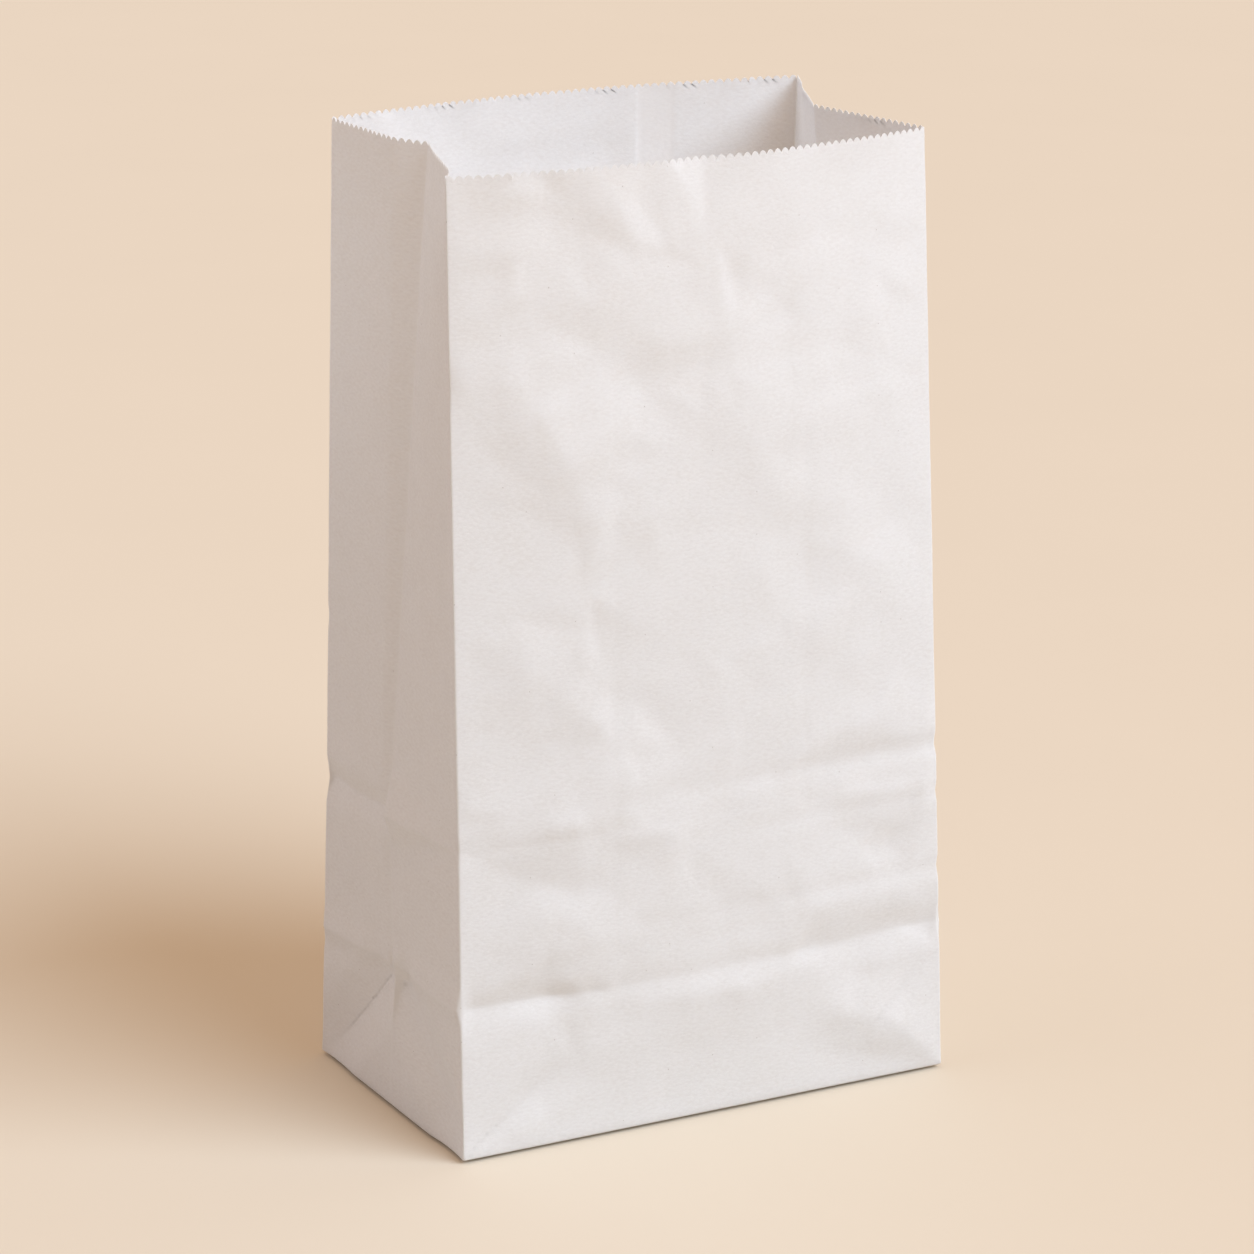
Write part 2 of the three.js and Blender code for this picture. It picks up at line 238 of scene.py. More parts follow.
def facet_map(width, spacing, height, draw):
    """Heights over a face: flat triangles between spots about one spacing apart. The spots on the
    side folds and on the ground are held at 0."""
    wide, tall = max(1, round(width / spacing)), round(TUBE_HEIGHT / spacing)
    spots, heights = [], []
    for row in range(tall + 1):
        for column in range(wide + 1):
            shift = draw.uniform(-SPOT_STRAY, SPOT_STRAY, 2) * (0 < column < wide, 0 < row < tall)
            spots.append(Vector(((column + shift[0]) * width / wide,
                                 (row + shift[1]) * TUBE_HEIGHT / tall)))
            heights.append(draw.normal(0, height) * (0 < column < wide and row > 0))
    places, _, triangles, from_spot, *_ = delaunay_2d_cdt(spots, [], [], 0, 0.001)
    across = np.linspace(0, width, round(width / FACET_CELL) + 1)
    climb = np.linspace(0, TUBE_HEIGHT, round(TUBE_HEIGHT / FACET_CELL) + 1)
    heights = [heights[which[0]] for which in from_spot]
    relief = np.zeros((len(across), len(climb)))
    for a, b, c in triangles:
        (xa, ya), (xb, yb), (xc, yc) = places[a], places[b], places[c]
        window = (slice(*np.searchsorted(across, (min(xa, xb, xc), max(xa, xb, xc) + HAIR))),
                  slice(*np.searchsorted(climb, (min(ya, yb, yc), max(ya, yb, yc) + HAIR))))
        x, y = np.meshgrid(across[window[0]] - xa, climb[window[1]] - ya, indexing="ij")
        area = (xb - xa) * (yc - ya) - (xc - xa) * (yb - ya)
        to_b, to_c = (x * (yc - ya) - (xc - xa) * y) / area, ((xb - xa) * y - x * (yb - ya)) / area
        inside = (to_b >= 0) & (to_c >= 0) & (to_b + to_c <= 1)
        flat = heights[a] + to_b * (heights[b] - heights[a]) + to_c * (heights[c] - heights[a])
        relief[window] = np.where(inside, flat, relief[window])
    return relief


def read_map(relief, width, across, climb):
    """The map's height at any places, evenly blended between its cells."""
    x = np.clip(across / width, 0, 1) * (relief.shape[0] - 1)
    y = np.clip(climb / TUBE_HEIGHT, 0, 1) * (relief.shape[1] - 1)
    i, j = np.minimum(x.astype(int), relief.shape[0] - 2), np.minimum(y.astype(int), relief.shape[1] - 2)
    x, y = x - i, y - j
    return ((relief[i, j] * (1 - x) + relief[i + 1, j] * x) * (1 - y)
            + (relief[i, j + 1] * (1 - x) + relief[i + 1, j + 1] * x) * y)


# %% [markdown]
# ## The front panel
#
# This is the face that a buyer sees, so its creases follow the bag in the picture one by one. The
# lower storage fold is crisp only where the gussets lay under it, over the outer 46 mm on each side,
# because the press had more layers there. Above it the paper stands proud in a flat fan at the left
# and up to a slanting ridge at the right. The upper fold shows as one fan at the left. The rest are
# dents from fingers and from opening: a crease with a tip is one that was pinched at a point.

# %% Creases of the front panel, as distances across and up
# Each one is its start and end, its height, how far it bends the paper on its left and on its right,
# the shares of its length over which it fades, unless they are 0.3 and 0.3, and TIP if it has one.
TIP = True
PINCH = (37.8, 163.5)
FRONT_CREASES = [
    # the lower storage fold: left, faint middle, right
    ((48, 44.8), (-2, 46.1), -0.9, 13, 12, (0, 0), TIP),
    ((45, 45), (108, 45.2), -0.2, 4, 5, (0.1, 0.1)),
    ((102, 45), (153.5, 46.3), -0.75, 14, 8, (0.1, 0)),
    # the paper stands proud above its right half, up to a slanting ridge
    ((98, 60), (153, 55.5), 0.6, 24, 14, (0.25, 0.2)),
    # a ridge below it, and the swell of the whole base
    ((106, 46), (114, 34), 0.32, 8, 6, (0.3, 0.5)),
    ((58, 39), (98, 38), 1.12, 18, 17),
    ((26, 41), (126, 41), 0.98, 75, 41),
    # the fold above the fan of the upper storage fold, and the ridge beside it
    ((18, 100.5), (-1, 105.5), 0.47, 4, 8, (0, 0), TIP),
    ((45, 98), (73, 83), 0.9, 14, 10),
    # finger dents between the two folds
    ((39, 129), (57, 98), 1.12, 16, 17, (0.3, 0.25)),
    ((27, 135), (45, 122), 0.75, 9, 11),
    # the dark slant from the left edge to the pinch at mid height, and the pinch itself
    ((-1, 224.5), (23, 222.8), 0.75, 12, 9, (0, 0.3)),
    ((14, 229), (46, 180), 1.42, 24, 16, (0.3, 0.4)),
    (PINCH, (45, 192), 2.3, 14, 26, (0, 0.6), TIP),
    (PINCH, (46, 132), -1.35, 26, 9, (0, 0.5), TIP),
    (PINCH, (49, 155), 0.47, 7, 6, (0, 0.5), TIP),
    # the upright crease down from the mouth, and its kink
    ((74.8, 259.5), (74.8, 284), -1.95, 13, 14, (0, 0), TIP),
    ((77.4, 259.6), (87, 236), -0.98, 15, 6, (0, 0.5), TIP),
    ((77, 260), (90, 192), 1.12, 26, 17, (0, 0.4), TIP),
    # three slanting folds to the left of it
    ((67, 250), (52, 274), -0.98, 9, 10, (0, 0.35), TIP),
    ((58, 249), (44, 276), 0.75, 11, 10, (0, 0.3), TIP),
    ((73.5, 247), (64, 258), -0.47, 6, 8, (0, 0.3), TIP),
    ((36, 269.5), (20, 283), -0.9, 8, 11, (0, 0), TIP),
    ((24, 276), (37, 248), -0.63, 12, 14, (0.3, 0.4)),
    ((46, 223), (76, 215), -0.73, 12, 15, (0.3, 0.4)),
    ((23.5, 205), (21.5, 222), -0.37, 9, 7, (0, 0.3), TIP),
    # nicks in the right edge, and the bands that run out to them
    ((146, 101.8), (153.5, 101.1), -0.52, 6, 4, (0.6, 0)),
    ((110, 114), (153, 103), 0.6, 16, 12, (0.35, 0.1)),
    ((104, 95), (141, 105.4), -0.52, 9, 14, (0.3, 0.2)),
    ((105, 95), (153, 86), 0.9, 12, 12, (0.3, 0.1)),
    ((133, 76), (143, 64), -0.63, 9, 6, (0.3, 0.4)),
    # the lower right corner's facets, and the lower left one's
    ((153.5, 0), (132, 22), 1.8, 15, 24, (0, 0.2), TIP),
    ((139, 17.5), (106, 27), 1.12, 12, 14, (0.25, 0.35)),
    ((136, 30), (106, 42), -0.47, 10, 11, (0.3, 0.4)),
    ((-1, 1), (32, 26), -1.65, 14, 13, (0, 0.35), TIP),
    # faint ones on the smooth right half
    ((102, 186), (111, 148), -0.75, 15, 13),
    ((130, 178), (151, 156), -0.73, 13, 12),
    ((88, 182), (134, 177), 0.63, 16, 16),
    ((91, 246), (104, 232), -0.47, 9, 9),
    ((115, 230), (123, 202), -0.52, 12, 12),
]
# The fans that the storage folds left near the left edge, and a third one: apex, outline and height.
FRONT_STARS = [
    ((28.2, 60.4), [(0, 46.6), (46.9, 44.6), (56, 62), (43, 76), (21, 81), (2, 66)], 2.1),
    ((34, 96), [(0.5, 92.3), (24, 79), (37, 74), (58, 88), (52, 116), (26, 122)], 2.33),
    ((20, 140), [(3, 128), (24, 118), (38, 136), (30, 158), (6, 156)], 0.68),
]
# Where the pressed gussets' edges lay under the panel, all the way up.
GUSSET_IMPRINTS = [((edge, 47), (edge + 1, 240), -0.12, 3, 4, (0.25, 0.25))
                   for edge in (HALF_GUSSET, PANEL_WIDTH - HALF_GUSSET)]


def creased(across, climb, lines, relief=0):
    """The relief with these creases added to it."""
    return sum((crease(across, climb, *line) for line in lines), relief)


def front_relief(across, climb):
    relief = creased(across, climb, FRONT_CREASES)
    relief = relief + sum(facet_star(across, climb, *star) for star in FRONT_STARS)
    return creased(across, climb, GUSSET_IMPRINTS, relief)


print(len(FRONT_CREASES), "creases and", len(FRONT_STARS), "stars on the front panel")

# %% [markdown]
# ## Gussets, back panel and crumple
#
# The other faces have the same storage folds. In a gusset the front half was folded over and the back
# half under, so the upper fold is a ridge on one and a valley on the other. Slanting folds run down
# from the middle of the lower one to both base corners. The back panel has the tube's glued lap, a
# strip 11 mm wide with a free edge. On top of that every face gets a weak crumple of its own, broad
# facets with small ones on them, drawn from a fixed seed, because no hand holds paper without bending
# it. The gussets have less of it: they were shut between the panels.

# %% Creases of the other faces
def straight_over(width, climb, *bend):
    """A crease at one climb, over the whole width of a face and a little more."""
    return ((-1, climb), (width + 1, climb), *bend)


def gusset_half(upper, slanted):
    """The lower storage fold, the upper one, and the slanting fold at the base."""
    return [straight_over(HALF_GUSSET, LOWER_FOLD, 1.5, 7, 6, (0, 0)),
            straight_over(HALF_GUSSET, UPPER_FOLD, *upper),
            ((0, 0), (HALF_GUSSET, LOWER_FOLD), slanted, 14, 14, (0.3, 0.1))]


GUSSET_CREASES = {"front half": gusset_half(upper=(3.4, 13, 9, (0, 0), TIP), slanted=-3.4),
                  "back half": gusset_half(upper=(-1.9, 6, 7, (0, 0)), slanted=-2.4)}
BACK_FOLDS = [straight_over(PANEL_WIDTH, LOWER_FOLD, 0.6, 9, 8, (0, 0)),
              straight_over(PANEL_WIDTH, UPPER_FOLD, -0.4, 10, 10, (0, 0))]
BACK_CREASES = [((90, 290), (92, 120), -0.35, 9, 5, (0, 0.6)),
                ((63, 290), (60, 200), 0.3, 8, 10, (0, 0.6))]
LAP_START, LAP_END = 38.5, 49.5      # across the back panel, from the back right corner
LAP_STEP = 0.14
FREE_EDGE, HIDDEN_EDGE = 0.5, 1.5    # how wide the step is at the lap's free edge and at its hidden one


def back_relief(across, climb):
    relief = creased(across, climb, BACK_FOLDS)
    relief = relief + LAP_STEP * share(across, LAP_END + FREE_EDGE, LAP_END)
    relief = relief - LAP_STEP * share(across, LAP_START, LAP_START - HIDDEN_EDGE)
    return creased(across, climb, BACK_CREASES, relief)


# %% The whole relief of a face
# The crumple: (spacing, height) of broad facets and of small ones, and how much of it a face has.
CRUMPLE = ((25, 0.38), (10, 0.19))
CRUMPLE_SHARE = {"front": 1, "back": 1.3, "right": 0.7, "left": 0.6}
CRUMPLE_SEED = 5
draw = np.random.default_rng(CRUMPLE_SEED)
for face in FACES:
    amount = CRUMPLE_SHARE[face["side"]]
    face["crumple"] = sum(facet_map(face["width"], spacing, amount * height, draw)
                          for spacing, height in CRUMPLE)
    print("crumple of the", face["kind"] + ":", face["crumple"].min().round(2), "to",
          face["crumple"].max().round(2), "mm")


# The left gusset's own bends. Its back half bends in along a strip beside the centre crease, which
# grows wider above the upper fold, and its front half curls in above CURL_START.
GUSSET_BEND, BENT_STRIP, STRIP_GROWTH = 0.30, 3.5, 8
GUSSET_CURL, CURL_START = 2.0, 120.0
FOLD_FADE = 12                       # how soon the relief fades in beside a fold


def bent_in(across, climb):
    strip = BENT_STRIP + STRIP_GROWTH * share(climb, UPPER_FOLD, TUBE_HEIGHT)
    rise = np.minimum((HALF_GUSSET - across) / strip, across / (HALF_GUSSET - strip))
    return GUSSET_BEND * strip * rise * share(climb, LOWER_FOLD, UPPER_FOLD)


def face_relief(face, across, climb):
    """How far the paper stands out of the plane between a face's two folds."""
    kind, width = face["kind"], face["width"]
    part = across / width
    arch = 1 - (2 * part - 1) ** 2
    relief = read_map(face["crumple"], width, across, climb)
    if kind == "front":
        relief = relief + front_relief(across, climb)
    elif kind == "back":
        relief = relief + back_relief(across, climb)
    else:
        half = kind.split(", ")[1]
        relief = relief + creased(from_corner(face, across), climb, GUSSET_CREASES[half])
    relief = relief * np.minimum(1, FOLD_FADE * arch)
    if kind in ("front", "back"):
        relief = relief + PANEL_BOW * arch * climb / TUBE_HEIGHT
    elif kind == "left gusset, back half":
        relief = relief + bent_in(across, climb)
    elif kind == "left gusset, front half":
        curl = np.sin(math.pi * part ** 3) * share(climb, CURL_START, TUBE_HEIGHT)
        relief = relief - GUSSET_CURL * curl
    return relief


# %% [markdown]
# ## From sheet to space
#
# A point of the sheet is carried to its face, moved out by the relief there, and rounded where it is
# close to a fold: real paper bends round a fold in about half a millimetre. The same is done at the
# ground, where the walls turn under the bag. The folded base is springy and its edge floats a
# millimetre above the ground, and that is what draws the thin dark line under a standing bag. The
# rounding is a short curve from one face to the next, with the true fold as its control point.

# %% A point of the sheet in space
CORNER_RADIUS, GUSSET_RADIUS, GROUND_RADIUS = 0.7, 0.5, 0.7
GROUND_GAP = 1.0                     # below the base's edge
TURNED_UNDER = GROUND_GAP + GROUND_RADIUS      # below this climb the walls turn under


def on_face(face, across, climb):
    (ax, ay), (bx, by) = face["start"](climb), face["end"](climb)
    nx, ny = by - ay, ax - bx
    length = np.hypot(nx, ny)
    relief = face_relief(face, across, climb)
    part = across / face["width"]
    near_folds = share(climb, 0, LOWER_FOLD) * (1 - share(climb, UPPER_FOLD, TUBE_HEIGHT))
    slip = face["slip"][0] * (1 - part) + face["slip"][1] * part
    drop = face["drop"][0] * (1 - part) + face["drop"][1] * part
    height = climb - slip * near_folds - drop * share(climb, UPPER_FOLD, TUBE_HEIGHT)
    return np.stack([ax + (bx - ax) * part + nx / length * relief,
                     ay + (by - ay) * part + ny / length * relief, height], axis=-1)


def round_fold(points, girths, climbs, index):
    """Turns the sheet round the fold where a face starts, on a short curve."""
    face, before = FACES[index], FACES[index - 1]
    radius = GUSSET_RADIUS if starts_at_crease(face) else CORNER_RADIUS
    offset = off_fold(face, girths)
    beside = np.abs(offset) < radius
    if not beside.any():
        return
    climb = climbs[beside]
    step = np.full(climb.shape, radius)
    one, two = on_face(before, before["width"] - step, climb), on_face(face, step, climb)
    fold = on_face(face, 0 * step, climb)
    turn = ((offset[beside] + radius) / (2 * radius))[:, None]
    points[beside] = (1 - turn) ** 2 * one + 2 * turn * (1 - turn) * fold + turn ** 2 * two


def turn_under(points, climbs):
    """Rounds the walls under the bag at the ground."""
    lowest = climbs < TURNED_UNDER
    if not lowest.any():
        return
    angle = (1 - climbs[lowest] / TURNED_UNDER) * math.pi / 2
    middle = np.array([np.mean([corner_line(name, 0)[k] for name in CORNERS]) for k in (0, 1)])
    half = np.array([PANEL_WIDTH, BASE_DEPTH]) / 2
    inwards = GROUND_RADIUS * (1 - np.cos(angle))
    points[lowest, :2] -= (points[lowest, :2] - middle) / half * inwards[:, None]
    points[lowest, 2] = TURNED_UNDER - GROUND_RADIUS * np.sin(angle)


def sheet_point(girths, climbs):
    """Places of sheet points, in millimetres. girths and climbs are flat arrays of one length."""
    girths, climbs = np.asarray(girths, float) % PERIMETER, np.asarray(climbs, float)
    points = np.zeros(girths.shape + (3,))
    for face in FACES:
        here = is_on(face, girths)
        if here.any():
            points[here] = on_face(face, girths[here] - face["girth"], climbs[here])
    for index in range(len(FACES)):
        round_fold(points, girths, climbs, index)
    turn_under(points, climbs)
    return points


print("the front panel's middle at the mouth, mm:",
      sheet_point([PANEL_WIDTH / 2], [TUBE_HEIGHT])[0].round(1))

# %% [markdown]
# ## The sheet's grid
#
# The mesh is a grid laid along the folds, so that every fold is a row of edges and nothing is cut
# across. Its columns stand closest beside the folds and on the two faces that the camera sees, and its
# rows beside the storage folds. A row of points for the teeth, four to a tooth, closes it at the top,
# and a zip of triangles joins it to the coarser grid below. Outer and inner skin are two copies of
# this mesh at the same place. They get their distance, the paper's thickness, in a later step.

# %% Columns, rows and points round the mouth
BESIDE_FOLD = np.array([0.25, 0.5, 0.75])      # the columns closest to a fold
LEAST_GAP = 0.3                                # from them to the even ones
COLUMN_STEP = {"front": 1.4, "back": 2.8, "right": 2.7, "left": 1.75}
ROW_STEP = 1.75
BESIDE_LOWER, BESIDE_UPPER = 0.6, 0.7          # the rows closest to the storage folds
TOOTH_POINTS = 4


def between_folds(width, step):
    """Distances across a face: close to each fold first, then evenly."""
    parts = round(width / step)
    inner = np.arange(1, parts) * width / parts
    first = BESIDE_FOLD[-1] + LEAST_GAP
    inner = inner[(inner > first) & (inner < width - first)]
    return np.concatenate([[0], BESIDE_FOLD, inner, width - BESIDE_FOLD[::-1]])


columns = []
for face in FACES:
    places = between_folds(face["width"], COLUMN_STEP[face["side"]])
    if face["kind"] == "back":
        places = np.union1d(places, [LAP_START - HIDDEN_EDGE, LAP_START, LAP_END, LAP_END + FREE_EDGE])
    columns.append(face["girth"] + places)
columns = np.concatenate(columns)

tooth_base = TUBE_HEIGHT - 2 * TOOTH_HEIGHT
rows = [np.linspace(0, TURNED_UNDER, 4)[:-1]]
for start, end in ((TURNED_UNDER, LOWER_FOLD), (LOWER_FOLD, UPPER_FOLD), (UPPER_FOLD, tooth_base)):
    rows.append(np.linspace(start, end, round((end - start) / ROW_STEP), endpoint=False))
rows.append([tooth_base, LOWER_FOLD - BESIDE_LOWER, LOWER_FOLD + BESIDE_LOWER,
             UPPER_FOLD - BESIDE_UPPER, UPPER_FOLD + BESIDE_UPPER])
rows = np.unique(np.concatenate(rows))
rim_girths = np.arange(TEETH * TOOTH_POINTS) * (TOOTH_PITCH / TOOTH_POINTS)
print(len(columns), "columns,", len(rows), "rows,", len(rim_girths), "points round the mouth")


# %% Triangles between two chains of points
def zip_chains(lower, upper, lower_at, upper_at):
    """Fills the strip between two chains that run the same way. lower_at and upper_at say how far
    along each point is."""
    triangles = []
    i = j = 0
    while i < len(lower) - 1 or j < len(upper) - 1:
        if i < len(lower) - 1 and (j == len(upper) - 1 or lower_at[i + 1] <= upper_at[j + 1]):
            triangles.append((lower[i], lower[i + 1], upper[j]))
            i += 1
        else:
            triangles.append((lower[i], upper[j + 1], upper[j]))
            j += 1
    return triangles


# %% [markdown]
# ## The folded base
#
# Underneath, the tube is closed like a parcel: two side triangles first, the back flap under them, the
# front flap under both. Each layer is flat and hinged at its own wall, so its free edge lies one
# paper's step off the next layer. Seen from inside the side triangles lie uppermost. A single flat lid
# would be simpler, but then the bag seen from below or from above would be a box.

# %% The flat layers of the base and the small steps between them
FLAP_OVERLAP = 7.7                      # how far the flap that shows whole runs past the middle
UNDERSIDE = (0.0, 0.22, 0.44)           # heights of front flap, back flap and side triangles, outside
FLOOR = (0.28, 0.46, 0.64)              # and inside
FLOOR_EDGE = GROUND_GAP + 0.3           # inner height where the floor meets the walls


def base_layers(ring, corners, points, heights, whole):
    """Adds the base's inner points and gives its faces, which look up. ring holds the point numbers
    of the outline, corners the corners' places in it, from the front left one against the clock."""
    spot = [np.array(points[ring[corner]][:2]) for corner in corners]
    number = {}
    for side, front, back, inwards in (("left", spot[0], spot[3], 1), ("right", spot[1], spot[2], -1)):
        apex = (front + back) / 2 + np.array([inwards * HALF_GUSSET, 0])
        start = front if whole == "front" else back
        lap = apex + (apex - start) * (FLAP_OVERLAP / HALF_GUSSET)
        for what, place, level in (("apex", apex, 0), ("apex", apex, 1), ("apex", apex, 2),
                                   ("lap", lap, 0), ("lap", lap, 1)):
            number[side, what, level] = len(points)
            points.append((place[0], place[1], heights[level]))

    def stretch(first, last):
        span = (corners[last] - corners[first]) % len(ring)
        return [ring[(corners[first] + k) % len(ring)] for k in range(span + 1)]

    def along(chain, axis, sign):
        return [sign * points[k][axis] for k in chain]

    front, right, back, left = stretch(0, 1), stretch(1, 2), stretch(2, 3), stretch(3, 0)
    # the apexes' and the laps' points, left and right, from the lowest layer up
    la, ra = ([number[side, "apex", k] for k in range(3)] for side in ("left", "right"))
    ll, rl = ([number[side, "lap", k] for k in range(2)] for side in ("left", "right"))
    front_top, back_top = [la[0], ll[0], rl[0], ra[0]], [ra[1], rl[1], ll[1], la[1]]
    faces = zip_chains(front, front_top, along(front, 0, 1), along(front_top, 0, 1))
    faces += zip_chains(back, back_top, along(back, 0, -1), along(back_top, 0, -1))
    faces += zip_chains(right, ra[2:], along(right, 1, 1), [0])
    faces += zip_chains(left, la[2:], along(left, 1, -1), [0])
    faces += [(front[-1], ra[2], ra[1]), (front[-1], ra[1], ra[0]), (ra[2], back[0], ra[1]),
              (rl[0], ra[0], ra[1], rl[1]), (ll[0], rl[0], rl[1], ll[1]), (la[0], ll[0], ll[1], la[1]),
              (front[0], la[0], la[1]), (front[0], la[1], la[2]), (la[1], back[-1], la[2])]
    return faces


# %% Both skins, the rim and the base
def skin_faces(first):
    """The faces of one skin, whose points are numbered from first, and the points of its rim."""
    wide, tall = len(columns), len(rows)
    ring = np.arange(wide)
    faces = []
    for row in range(tall - 1):
        lower, upper = first + row * wide, first + (row + 1) * wide
        after = (ring + 1) % wide
        faces += zip((lower + ring).tolist(), (lower + after).tolist(),
                     (upper + after).tolist(), (upper + ring).tolist())
    last = (first + (tall - 1) * wide + ring).tolist()
    rim = (first + tall * wide + np.arange(len(rim_girths))).tolist()
    closed = [np.append(at, PERIMETER) for at in (columns, rim_girths)]
    return faces + zip_chains(last + last[:1], rim + rim[:1], *closed), rim


across, up = np.meshgrid(columns, rows)
sheet_girths = np.concatenate([across.ravel(), rim_girths])
sheet_climbs = np.concatenate([up.ravel(), np.full(rim_girths.shape, TUBE_HEIGHT)])
outer_places = sheet_point(sheet_girths, sheet_climbs)
inner_places = outer_places.copy()
inner_places[:, 2] = np.maximum(inner_places[:, 2], FLOOR_EDGE)
count = len(outer_places)
outer_faces, outer_rim = skin_faces(0)
inner_faces, inner_rim = skin_faces(count)
points = [tuple(p) for p in np.concatenate([outer_places, inner_places]).tolist()]
corner_columns = [int(np.searchsorted(columns, face["girth"] - HAIR)) for face in FACES
                  if not starts_at_crease(face)]
ring = list(range(len(columns)))
underside = base_layers(ring, corner_columns, points, UNDERSIDE, whole="front")
floor = base_layers([count + k for k in ring], corner_columns, points, FLOOR, whole="back")
cut_edge = list(zip(outer_rim, outer_rim[1:] + outer_rim[:1], inner_rim[1:] + inner_rim[:1], inner_rim))
sheet_faces = (outer_faces + [face[::-1] for face in inner_faces] + cut_edge
               + [face[::-1] for face in underside] + floor)
print(len(points), "points and", len(sheet_faces), "faces, still without a thickness")


# %% Which way is out, and where the sheet was folded
def outward_directions(places):
    """Each sheet point's unit direction away from the inside, from its neighbours in the grid."""
    wide, tall = len(columns), len(rows)
    body = places[:wide * tall].reshape(tall, wide, 3)
    round_it = np.roll(body, -1, axis=1) - np.roll(body, 1, axis=1)
    up = np.gradient(body, axis=0)
    up[0] = up[3]                    # the sheet's lower edge looks sideways, as the wall above it does
    out = np.cross(round_it, up)
    out /= np.linalg.norm(out, axis=-1, keepdims=True)
    at, last = np.append(columns, PERIMETER), np.vstack([out[-1], out[-1, :1]])
    rim = np.stack([np.interp(rim_girths, at, last[:, k]) for k in range(3)], axis=-1)
    rim /= np.linalg.norm(rim, axis=-1, keepdims=True)
    return np.concatenate([out.reshape(-1, 3), rim])


# How far the scuffing and its painted highlight reach at the ground, at an upright fold and at any
# other, and how much of them a storage fold has: where the press had more layers, over the front's
# middle, on the back, and high up on a gusset.
GROUND_SCUFF_AND_HIGHLIGHT, UPRIGHT_SCUFF_AND_HIGHLIGHT, FOLD_SCUFF_AND_HIGHLIGHT = 2.0, 1.6, 1.5
PRESSED, UNPRESSED, BACK_PRESSED, HIGH_PRESSED = 0.9, 0.25, 0.8, 0.5


def fold_mask(girths, climbs):
    """1 on a pressed fold, fading to 0 a short way off it: scuffed there, and lighter as a painted
    highlight.
    """
    mask = near(climbs, GROUND_SCUFF_AND_HIGHLIGHT)
    for face in FACES:
        mask = np.maximum(mask, near(off_fold(face, girths), UPRIGHT_SCUFF_AND_HIGHLIGHT))
        across, amount = girths - face["girth"], PRESSED
        folded = near(climbs - LOWER_FOLD, FOLD_SCUFF_AND_HIGHLIGHT)
        if face["kind"] == "front":
            over_gussets = (across < HALF_GUSSET) | (across > PANEL_WIDTH - HALF_GUSSET)
            amount = np.where(over_gussets, PRESSED, UNPRESSED)
        elif face["kind"] == "back":
            amount = BACK_PRESSED
        else:
            slanted = near((climbs - from_corner(face, across)) * math.sqrt(0.5), FOLD_SCUFF_AND_HIGHLIGHT)
            folded = np.maximum.reduce([slanted * (climbs < LOWER_FOLD), folded,
                                        HIGH_PRESSED * near(climbs - UPPER_FOLD, FOLD_SCUFF_AND_HIGHLIGHT)])
        mask = np.maximum(mask, folded * is_on(face, girths) * amount)
    return mask


def lap_mask(girths):
    """1 on the strip where the tube's two ends are glued over each other, edges included."""
    back, margin = FACES[KINDS.index("back")]["girth"], 0.1
    return ((girths >= back + LAP_START - margin) & (girths <= back + LAP_END + margin)).astype(float)


# %% The mesh with its notes for the next step
COCKLE_RISE = (1, 12)                # the climbs over which the paper gets free of the base, to cockle


def sheet_values():
    """Every value that a point carries, for both skins and the base."""
    extra = len(points) - 2 * count
    out = outward_directions(outer_places)

    def both(values):
        return np.concatenate([values, values, np.zeros(extra)])

    return {
        "skin": np.concatenate([np.ones(count), -np.ones(count), np.zeros(extra)]),
        "girth": both(sheet_girths) * MM,
        "mouth": both(sheet_climbs == TUBE_HEIGHT),
        "free": both(share(sheet_climbs, *COCKLE_RISE)),
        "fold": both(fold_mask(sheet_girths, sheet_climbs)),
        "lap": both(lap_mask(sheet_girths)),
        "outward": np.concatenate([out, out, np.tile((0.0, 0.0, -1.0), (extra, 1))]),
    }


def sheet_mesh():
    mesh = bpy.data.meshes.new("paper_sheet")
    mesh.from_pydata((np.array(points) * MM).tolist(), [], sheet_faces)
    for name, values in sheet_values().items():
        vector = values.ndim > 1
        layer = mesh.attributes.new(name, "FLOAT_VECTOR" if vector else "FLOAT", "POINT")
        layer.data.foreach_set("vector" if vector else "value", values.astype(np.float32).ravel())
    cut = np.zeros(len(sheet_faces), bool)
    start = len(outer_faces) + len(inner_faces)
    cut[start:start + len(cut_edge)] = True
    mesh.attributes.new("cut", "BOOLEAN", "FACE").data.foreach_set("value", cut)
    return mesh


def lay_out(mesh):
    """A flat pattern of the sheet in metres, so that the paper's grain runs unbroken over the folds."""
    corner_points = np.zeros(len(mesh.loops), int)
    mesh.loops.foreach_get("vertex_index", corner_points)
    places = np.array(points)
    extra = places[2 * count:, :2]
    u = np.concatenate([sheet_girths, sheet_girths, extra[:, 0] + PERIMETER])[corner_points]
    v = np.concatenate([sheet_climbs, sheet_climbs, extra[:, 1] - BASE_DEPTH])[corner_points]
    sizes = np.zeros(len(mesh.polygons), int)
    mesh.polygons.foreach_get("loop_total", sizes)
    starts = np.concatenate([[0], np.cumsum(sizes)[:-1]])
    widest = np.repeat(np.maximum.reduceat(u, starts), sizes)
    u = np.where((widest - u > PERIMETER / 2) & (widest <= PERIMETER), u + PERIMETER, u)
    pattern = mesh.uv_layers.new(name="sheet")
    pattern.data.foreach_set("uv", (np.stack([u, v], axis=-1) * MM).astype(np.float32).ravel())


def new_object(name, data):
    obj = bpy.data.objects.new(name, data)
    bpy.context.collection.objects.link(obj)
    return obj


bag = new_object("folded_paper_bag", sheet_mesh())
lay_out(bag.data)
print("sheet:", len(bag.data.vertices), "points,", len(bag.data.polygons), "faces")
